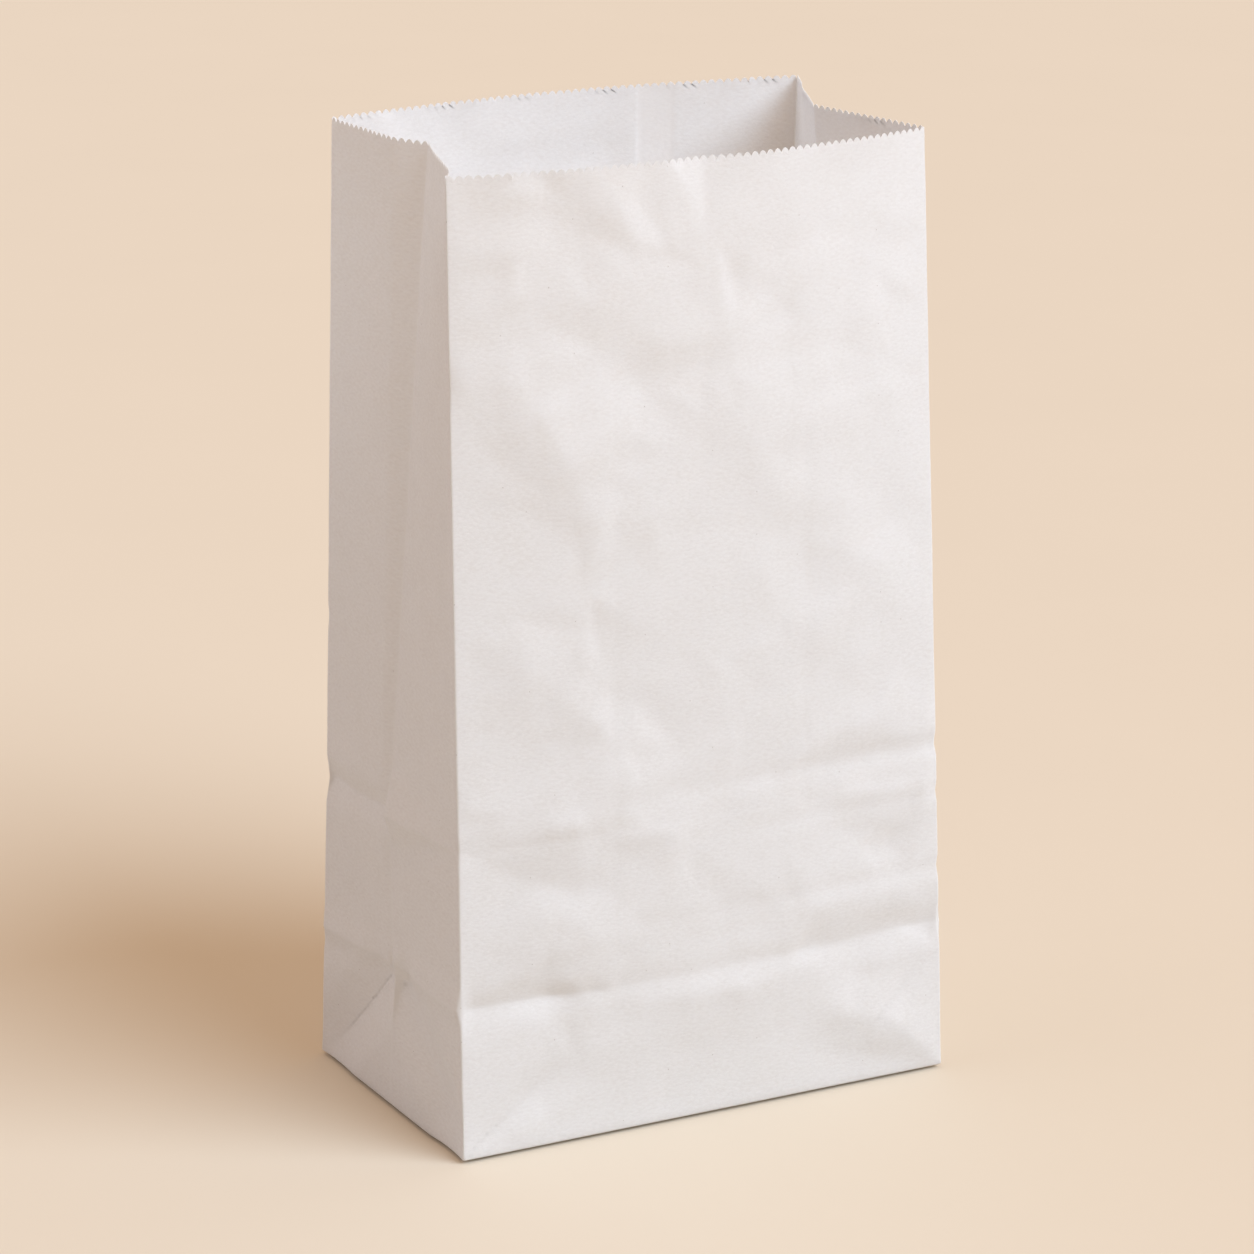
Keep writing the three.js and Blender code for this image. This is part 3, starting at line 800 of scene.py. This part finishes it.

# %% [markdown]
# ## White bag paper
#
# Bleached kraft paper is matt and not quite white. Close up it is a felt of short fibres, so its tone
# wanders by one or two parts in a hundred over about a millimetre, with the odd dark speck. Pressed
# folds are scuffed, and are painted a little lighter: partly the scuffing, partly a painted highlight
# along each fold. The glued lap is painted darker, a painted shade where two layers let less light
# through. A flat white would look like plastic. Thin paper also lets light through, so the inside of
# the bag glows and no shadow on it is deep. That is made with light that wanders a quarter of a
# millimetre inside the sheet, which is thinner than that. The fibres, the scuffing with its painted
# highlight, and the specks are node groups that only put out masks and heights. The faces of the paper
# use all three, and its cut edge the fibres only. They read the flat pattern of the sheet, in metres.

# %% Helpers for node trees
def fill(tree, node, inputs):
    """Fills a node's inputs, by name or number: a socket is linked, and anything else is a value."""
    for name, value in inputs.items():
        if isinstance(value, bpy.types.NodeSocket):
            tree.links.new(value, node.inputs[name])
        else:
            node.inputs[name].default_value = value


def add_node(tree, kind, inputs=None, **settings):
    node = tree.nodes.new(kind)
    for name, value in settings.items():
        setattr(node, name, value)
    fill(tree, node, inputs or {})
    return node


def maths(tree, operation, *values):
    return add_node(tree, "ShaderNodeMath", dict(enumerate(values)), operation=operation).outputs[0]


def mix(tree, amount, one, two, blend="MIX"):
    """One colour mixed with another. With ADD it is the first plus an amount of the second."""
    return add_node(tree, "ShaderNodeMix", {0: amount, 6: one, 7: two}, data_type="RGBA",
                    blend_type=blend).outputs[2]


def new_group(name, kind, inputs, outputs):
    """A node group. inputs and outputs are lists of (name, socket type, default)."""
    group = bpy.data.node_groups.new(name, kind)
    for direction, sockets in (("INPUT", inputs), ("OUTPUT", outputs)):
        for socket_name, socket_type, default in sockets:
            socket = group.interface.new_socket(socket_name, in_out=direction, socket_type=socket_type)
            if default is not None:
                socket.default_value = default
    return group, group.nodes.new("NodeGroupInput"), group.nodes.new("NodeGroupOutput")


FLOAT, VECTOR = "NodeSocketFloat", "NodeSocketVector"


# %% Node groups: fibres, specks, and scuffed folds with a painted highlight
def stretched_noise(group, place, size, angle, stretch, detail):
    """Noise drawn out into short strokes at an angle. size is a socket, in metres."""
    turned = add_node(group, "ShaderNodeMapping", {"Vector": place, "Rotation": (0, 0, angle),
                                                   "Scale": (1, stretch, 1)})
    scale = maths(group, "DIVIDE", 1.0, size)
    return add_node(group, "ShaderNodeTexNoise", {"Vector": turned.outputs[0], "Scale": scale,
                                                  "Detail": detail, "Roughness": 0.6}).outputs[0]


def fibre_group():
    group, given, out = new_group(
        "paper_fibres", "ShaderNodeTree",
        [("Pattern", VECTOR, None), ("Fibre length", FLOAT, 0.0018), ("Cloud size", FLOAT, 0.012)],
        [("Tone", FLOAT, None), ("Height", FLOAT, None)])
    place, length = given.outputs["Pattern"], given.outputs["Fibre length"]
    one = stretched_noise(group, place, length, math.radians(35), stretch=2.2, detail=2)
    two = stretched_noise(group, place, length, math.radians(-60), stretch=2.2, detail=2)
    felt = maths(group, "MULTIPLY", maths(group, "ADD", one, two), 0.5)
    clouds = stretched_noise(group, place, given.outputs["Cloud size"], math.radians(70),
                             stretch=1.6, detail=2)
    # the tone is seven parts felt and three parts clouds
    tone = maths(group, "ADD", maths(group, "MULTIPLY", felt, 0.7),
                 maths(group, "MULTIPLY", clouds, 0.3))
    fill(group, out, {"Tone": tone, "Height": felt})
    return group


def speck_group():
    group, given, out = new_group(
        "paper_specks", "ShaderNodeTree",
        [("Pattern", VECTOR, None), ("Spacing", FLOAT, 0.007), ("Speck size", FLOAT, 0.00016),
         ("Kept share", FLOAT, 0.05)],
        [("Mask", FLOAT, None)])
    scale = maths(group, "DIVIDE", 1.0, given.outputs["Spacing"])
    cells = add_node(group, "ShaderNodeTexVoronoi", {"Vector": given.outputs["Pattern"], "Scale": scale,
                                                     "Randomness": 1.0}, voronoi_dimensions="2D")
    radius = maths(group, "MULTIPLY", given.outputs["Speck size"], scale)
    inside = maths(group, "LESS_THAN", cells.outputs["Distance"], radius)
    lot = add_node(group, "ShaderNodeSeparateColor", {"Color": cells.outputs["Color"]}).outputs[0]
    kept = maths(group, "LESS_THAN", lot, given.outputs["Kept share"])
    fill(group, out, {"Mask": maths(group, "MULTIPLY", inside, kept)})
    return group


# Scuffed folds: a mask for paper that is painted lighter where it is worn and as a highlight along the
# fold
def scuff_and_highlight_group():
    group, given, out = new_group(
        "scuffed_and_highlit_folds", "ShaderNodeTree",
        [("Pattern", VECTOR, None), ("Fold", FLOAT, 0.0), ("Patch size", FLOAT, 0.004)],
        [("Mask", FLOAT, None)])
    patches = stretched_noise(group, given.outputs["Pattern"], given.outputs["Patch size"], 0.0,
                              stretch=1.5, detail=4)
    worn_and_highlit = maths(group, "MULTIPLY", maths(group, "POWER", given.outputs["Fold"], 2.0),
                 maths(group, "ADD", patches, 0.35))
    fill(group, out, {"Mask": maths(group, "MINIMUM", worn_and_highlit, 1.0)})
    return group


FIBRES, SPECKS, SCUFFS_AND_HIGHLIGHTS = fibre_group(), speck_group(), scuff_and_highlight_group()
print("node groups:", [group.name for group in (FIBRES, SPECKS, SCUFFS_AND_HIGHLIGHTS)])

# %% The two materials: the paper's faces and its cut edge
PAPER_LIGHT, PAPER_DARK = (0.995, 0.983, 0.972, 1), (0.911, 0.893, 0.880, 1)
EDGE_LIGHT = (0.985, 0.975, 0.96, 1)
PAPER_FIBRE, EDGE_FIBRE = 0.0018, 0.0006       # lengths in metres
# What lies over the fibres, and how much of it: painted shade on the lap, where two layers let less
# light through; scuffing with a painted highlight on the folds; and specks.
LAP_PAINTED_SHADE, LAP_SHADE_SHARE = (0.90, 0.87, 0.85, 1), 0.55
SCUFF_AND_HIGHLIGHT_COLOUR, SCUFF_AND_HIGHLIGHT_SHARE = (0.985, 0.975, 0.96, 1), 0.9
SPECK_COLOUR, SPECK_SHARE = (0.45, 0.40, 0.36, 1), 0.6
LIGHT_WANDERS = 0.00025              # how far light spreads in the paper, in metres


def new_material(name):
    material = bpy.data.materials.new(name)
    material.use_nodes = True
    return material, material.node_tree, material.node_tree.nodes["Principled BSDF"]


def paper_material(name, edge):
    """White paper. Its cut edge has shorter fibres, and nothing lies over them."""
    material, tree, surface = new_material(name)
    pattern = add_node(tree, "ShaderNodeUVMap", uv_map="sheet").outputs[0]
    length = EDGE_FIBRE if edge else PAPER_FIBRE
    fibres = add_node(tree, "ShaderNodeGroup", {"Pattern": pattern, "Fibre length": length},
                      node_tree=FIBRES).outputs
    tone = add_node(tree, "ShaderNodeMapRange", {
        "Value": fibres["Tone"], "From Min": 0.4, "From Max": 0.6})
    colour = mix(tree, tone.outputs[0], PAPER_DARK, EDGE_LIGHT if edge else PAPER_LIGHT)
    if not edge:
        lap, fold = (add_node(tree, "ShaderNodeAttribute", attribute_name=note).outputs["Fac"]
                     for note in ("lap", "fold"))
        scuffs_and_highlights = add_node(tree, "ShaderNodeGroup", {"Pattern": pattern, "Fold": fold}, node_tree=SCUFFS_AND_HIGHLIGHTS)
        specks = add_node(tree, "ShaderNodeGroup", {"Pattern": pattern}, node_tree=SPECKS)
        # painted shade on the lap, scuffing with a painted highlight on the folds, and specks
        for mask, amount, over in ((lap, LAP_SHADE_SHARE, LAP_PAINTED_SHADE),
                                   (scuffs_and_highlights.outputs["Mask"], SCUFF_AND_HIGHLIGHT_SHARE, SCUFF_AND_HIGHLIGHT_COLOUR),
                                   (specks.outputs["Mask"], SPECK_SHARE, SPECK_COLOUR)):
            colour = mix(tree, maths(tree, "MULTIPLY", mask, amount), colour, over)
    rough = add_node(tree, "ShaderNodeMapRange", {
        "Value": fibres["Tone"], "From Min": 0.3, "From Max": 0.7, "To Min": 0.72, "To Max": 0.86})
    bump = add_node(tree, "ShaderNodeBump", {
        "Height": fibres["Height"], "Distance": 0.00015, "Strength": 0.6 if edge else 0.5})
    fill(tree, surface, {"Base Color": colour, "Roughness": rough.outputs[0], "Normal": bump.outputs[0],
                         "Specular IOR Level": 0.3, "Subsurface Weight": 1.0,
                         "Subsurface Radius": (1, 1, 1), "Subsurface Scale": LIGHT_WANDERS})
    return material


paper = paper_material("white_bag_paper", edge=False)
paper_edge = paper_material("pinked_paper_edge", edge=True)
print("materials:", paper.name, paper_edge.name)

# %% [markdown]
# ## Teeth, thickness and cockle with Geometry Nodes
#
# The teeth repeat 192 times round the mouth and the paper is equally thick all over: both follow a
# rule, so nodes make them from the notes that the points carry. The same tree adds the cockle, the
# weak waviness that damp air gives to any paper. Editing 192 teeth by hand, or solidifying the sheet
# after cutting them, would give a less even rim. Its named inputs can be changed without touching the
# sheet. The result is kept as a plain mesh.

# %% The tree
SHEET_SIZES = {"Tooth pitch": TOOTH_PITCH * MM, "Tooth height": TOOTH_HEIGHT * MM,
               "Paper thickness": PAPER * MM, "Cockle height": 0.1 * MM, "Cockle size": 24 * MM}
COCKLE_SEED = 3
TOOTH_BLUNTNESS = 0.85               # 1 is half a sine, and less than that is blunter
NOISE_STRETCH = 4.0                  # brings noise round 0.5 to about -1 and 1


def pinked_sheet_tree():
    tree, given, out = new_group(
        "pinked_mouth_and_wall", "GeometryNodeTree",
        [("Sheet", "NodeSocketGeometry", None),
         *((name, FLOAT, size) for name, size in SHEET_SIZES.items()),
         ("Cockle seed", "NodeSocketInt", COCKLE_SEED), ("Paper", "NodeSocketMaterial", None),
         ("Cut edge", "NodeSocketMaterial", None)],
        [("Bag", "NodeSocketGeometry", None)])
    given = given.outputs

    def note(name, kind="FLOAT"):
        return add_node(tree, "GeometryNodeInputNamedAttribute", {"Name": name},
                        data_type=kind).outputs[0]

    # a tooth is half a sine, made a little blunter, and measured down from its tip
    turn = maths(tree, "MULTIPLY", maths(tree, "DIVIDE", note("girth"), given["Tooth pitch"]), math.pi)
    wave = maths(tree, "POWER", maths(tree, "ABSOLUTE", maths(tree, "SINE", turn)), TOOTH_BLUNTNESS)
    below_tip = maths(tree, "MULTIPLY", maths(tree, "SUBTRACT", wave, 1.0), given["Tooth height"])
    tooth = add_node(tree, "ShaderNodeCombineXYZ", {
        "Z": maths(tree, "MULTIPLY", below_tip, note("mouth"))}).outputs[0]
    # the cockle, and half the paper's thickness to each side
    place = add_node(tree, "GeometryNodeInputPosition").outputs[0]
    waves = add_node(tree, "ShaderNodeTexNoise", {
        "Vector": place, "W": given["Cockle seed"],
        "Scale": maths(tree, "DIVIDE", 1.0, given["Cockle size"]),
        "Detail": 2.0, "Roughness": 0.45}, noise_dimensions="4D").outputs[0]
    waves = maths(tree, "MULTIPLY", maths(tree, "SUBTRACT", waves, 0.5), NOISE_STRETCH)
    height = maths(tree, "MULTIPLY", given["Cockle height"], note("free"))
    cockle = maths(tree, "MULTIPLY", waves, height)
    wall = maths(tree, "MULTIPLY", maths(tree, "MULTIPLY", note("skin"), 0.5), given["Paper thickness"])
    aside = add_node(tree, "ShaderNodeVectorMath", {
        0: note("outward", "FLOAT_VECTOR"), "Scale": maths(tree, "ADD", cockle, wall)},
        operation="SCALE").outputs[0]
    offset = add_node(tree, "ShaderNodeVectorMath", {0: aside, 1: tooth}, operation="ADD")
    bag_mesh = given["Sheet"]
    for kind, inputs in (("GeometryNodeSetPosition", {"Offset": offset.outputs[0]}),
                         ("GeometryNodeSetShadeSmooth", {}), ("GeometryNodeRealizeInstances", {}),
                         ("GeometryNodeSetMaterial", {"Material": given["Paper"]}),
                         ("GeometryNodeSetMaterial", {"Selection": note("cut", "BOOLEAN"),
                                                      "Material": given["Cut edge"]})):
        bag_mesh = add_node(tree, kind, {0: bag_mesh, **inputs}).outputs[0]
    fill(tree, out, {"Bag": bag_mesh})
    return tree


# %% Set its inputs, and keep the result as a plain mesh
SHARP_FOLD = math.radians(50)        # an edge that turns more than this is shaded as a fold


def grow(sheet, tree, settings):
    """Runs the tree on the sheet. Its inputs are set by their identifiers before it is evaluated."""
    modifier = sheet.modifiers.new("pinked_sheet", "NODES")
    modifier.node_group = tree
    for item in tree.interface.items_tree:
        if item.in_out == "INPUT" and item.name in settings:
            modifier[item.identifier] = settings[item.name]
    graph = bpy.context.evaluated_depsgraph_get()
    mesh = bpy.data.meshes.new_from_object(sheet.evaluated_get(graph), preserve_all_data_layers=True,
                                           depsgraph=graph)
    sheet.modifiers.remove(modifier)
    sheet.data = mesh
    mesh.name = sheet.name


grow(bag, pinked_sheet_tree(), {**SHEET_SIZES, "Cockle seed": COCKLE_SEED, "Paper": paper,
                                "Cut edge": paper_edge})
bag.data.set_sharp_from_angle(angle=SHARP_FOLD)
triangles = sum(len(face.vertices) - 2 for face in bag.data.polygons)
print("bag:", triangles, "triangles, materials", [m.name for m in bag.data.materials])

# %% The piece stands for the plain solid
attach(bag, BODY)
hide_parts(NODE)

# %% [markdown]
# ## Floor, light and camera
#
# The bag stands on a plain pale beige floor, large enough to fill every view. One broad lamp, far off
# in front and to the right, gives the soft shadow that leans back to the left. The room fills the
# shadows: it is warm on the right and overhead, and a cooler window high at the left lights the
# gusset. A near lamp would fade over the floor, and an even sky would leave the gusset's creases
# unseen. So would a floor that throws all of its light up at them, so it throws seven tenths. A
# backdrop wall would block the views from behind, so there is none, only its colour.

# %% Floor
FLOOR_COLOUR, FLOOR_DARKER = (0.787, 0.703, 0.580, 1), (0.771, 0.689, 0.568, 1)
FLOOR_BOUNCE = 0.7                   # how much of its light the floor throws up onto the bag
FLOOR_SIZE = 12.0


def pale_floor():
    half = FLOOR_SIZE / 2
    mesh = bpy.data.meshes.new("floor")
    mesh.from_pydata([(-half, -half, 0), (half, -half, 0), (half, half, 0), (-half, half, 0)], [],
                     [(0, 1, 2, 3)])
    material, tree, surface = new_material("pale_beige_floor")
    mesh.materials.append(material)
    place = add_node(tree, "ShaderNodeTexCoord").outputs["Object"]
    cloud = add_node(tree, "ShaderNodeTexNoise", {"Vector": place, "Scale": 9.0, "Detail": 3.0})
    seen = mix(tree, cloud.outputs[0], FLOOR_COLOUR, FLOOR_DARKER)
    thrown = tuple(FLOOR_BOUNCE * part for part in FLOOR_COLOUR[:3]) + (1,)
    looked_at = add_node(tree, "ShaderNodeLightPath").outputs["Is Camera Ray"]
    fill(tree, surface, {"Base Color": mix(tree, looked_at, thrown, seen), "Roughness": 0.9,
                         "Specular IOR Level": 0.1})
    return new_object("floor", mesh)


floor_plane = pale_floor()

# %% Light
LAMP_DIRECTION = (0.3797, -0.6320, 0.6756)
LAMP_WIDTH = math.radians(43)        # how wide the lamp looks from the bag
LAMP_STRENGTH = 2.734
LAMP_COLOUR = (0.697, 0.839, 1.0)
BACKDROP = (0.78, 0.64, 0.51, 1)     # what a view from low down sees behind the floor
BLACK = (0, 0, 0, 1)
ROOM_FROM_RIGHT = (0.355, 0.251, 0.192, 1)
ROOM_FROM_ABOVE = (0.522, 0.306, 0.088, 1)
ROOM_FROM_WINDOW = (0.412, 0.476, 0.617, 1)
WINDOW_DIRECTION = (-0.74, 0.32, 0.59)
WINDOW_FOCUS = 2.0                   # how fast its light fades to the sides


def soft_lamp():
    lamp = bpy.data.lights.new("far_broad_lamp", "SUN")
    lamp.angle, lamp.energy, lamp.color = LAMP_WIDTH, LAMP_STRENGTH, LAMP_COLOUR
    obj = new_object("far_broad_lamp", lamp)
    obj.rotation_euler = Vector(LAMP_DIRECTION).to_track_quat("Z", "Y").to_euler()


def soft_room():
    """Weak light from the whole room: warm from the right and overhead, cooler from a window high at
    the left."""
    world = bpy.data.worlds.new("soft_room")
    world.use_nodes = True
    tree = world.node_tree
    towards = add_node(tree, "ShaderNodeTexCoord").outputs["Generated"]
    axes = add_node(tree, "ShaderNodeSeparateXYZ", {0: towards}).outputs
    rightness = maths(tree, "MULTIPLY_ADD", axes["X"], 0.5, 0.5)
    facing = add_node(tree, "ShaderNodeVectorMath", {0: towards, 1: WINDOW_DIRECTION},
                      operation="DOT_PRODUCT").outputs["Value"]
    window = maths(tree, "POWER", maths(tree, "MAXIMUM", facing, 0.0), WINDOW_FOCUS)
    overhead = maths(tree, "MAXIMUM", axes["Z"], 0.0)
    colour = BLACK
    for amount, light in ((rightness, ROOM_FROM_RIGHT), (overhead, ROOM_FROM_ABOVE),
                          (window, ROOM_FROM_WINDOW)):
        colour = mix(tree, amount, colour, light, "ADD")
    looked_at = add_node(tree, "ShaderNodeLightPath").outputs["Is Camera Ray"]
    fill(tree, tree.nodes["Background"], {"Color": mix(tree, looked_at, colour, BACKDROP)})
    bpy.context.scene.world = world


soft_lamp()
soft_room()
bpy.context.scene.view_settings.view_transform = "Standard"

# %% Camera
CAMERA_AZIMUTH, CAMERA_ELEVATION = math.radians(-27.706), math.radians(17.102)
CAMERA_DISTANCE, CAMERA_TARGET = 1.16735, (-0.00049, 0, 0.13407)
FRAME_PIXELS, FOCAL_PIXELS = 1254, 4082.5
SENSOR = 36.0


def camera():
    data = bpy.data.cameras.new("camera")
    data.sensor_width, data.lens = SENSOR, SENSOR * (FOCAL_PIXELS / FRAME_PIXELS)
    data.clip_start, data.clip_end = 0.05, 50
    obj = new_object("camera", data)
    back = Vector((math.sin(CAMERA_AZIMUTH) * math.cos(CAMERA_ELEVATION),
                   -math.cos(CAMERA_AZIMUTH) * math.cos(CAMERA_ELEVATION), math.sin(CAMERA_ELEVATION)))
    obj.location = Vector(CAMERA_TARGET) + back * CAMERA_DISTANCE
    obj.rotation_euler = back.to_track_quat("Z", "Y").to_euler()
    bpy.context.scene.camera = obj
    print("camera at, mm:", [round(v / MM, 1) for v in obj.location])


camera()
